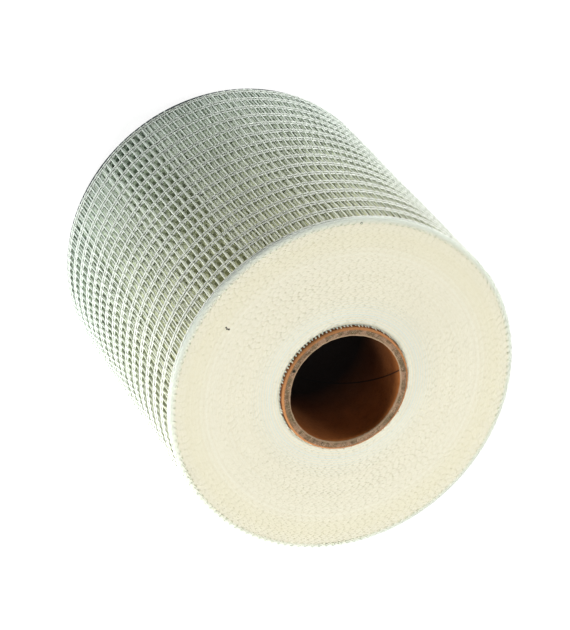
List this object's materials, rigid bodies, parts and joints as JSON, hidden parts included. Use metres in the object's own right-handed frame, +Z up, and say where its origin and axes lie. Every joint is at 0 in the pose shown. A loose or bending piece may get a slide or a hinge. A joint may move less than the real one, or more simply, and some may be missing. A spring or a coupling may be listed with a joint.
{
  "type": "mesh tape roll",
  "caption": "Roll of open-weave repair mesh tape wound on a cardboard tube and stood on its end; the tape is pulled off and laid over joints and cracks.",
  "frame": {"origin": "centre of the bore, on the floor that the roll stands on", "axes": "+Z up along the roll's axis, towards the end where the tube stands proud; the roll looks the same along X and Y"},
  "size_m": [0.156, 0.156, 0.154],
  "materials": {
    "mesh_tape": "matte, open weave of coated glass yarn, ivory with olive gaps",
    "core_card": "matte, spirally wound kraft card with a fibrous cut end"
  },
  "bodies": {
    "root": {"mesh_roll": "mesh_tape", "core_tube": "core_card"}
  },
  "joints": []
}
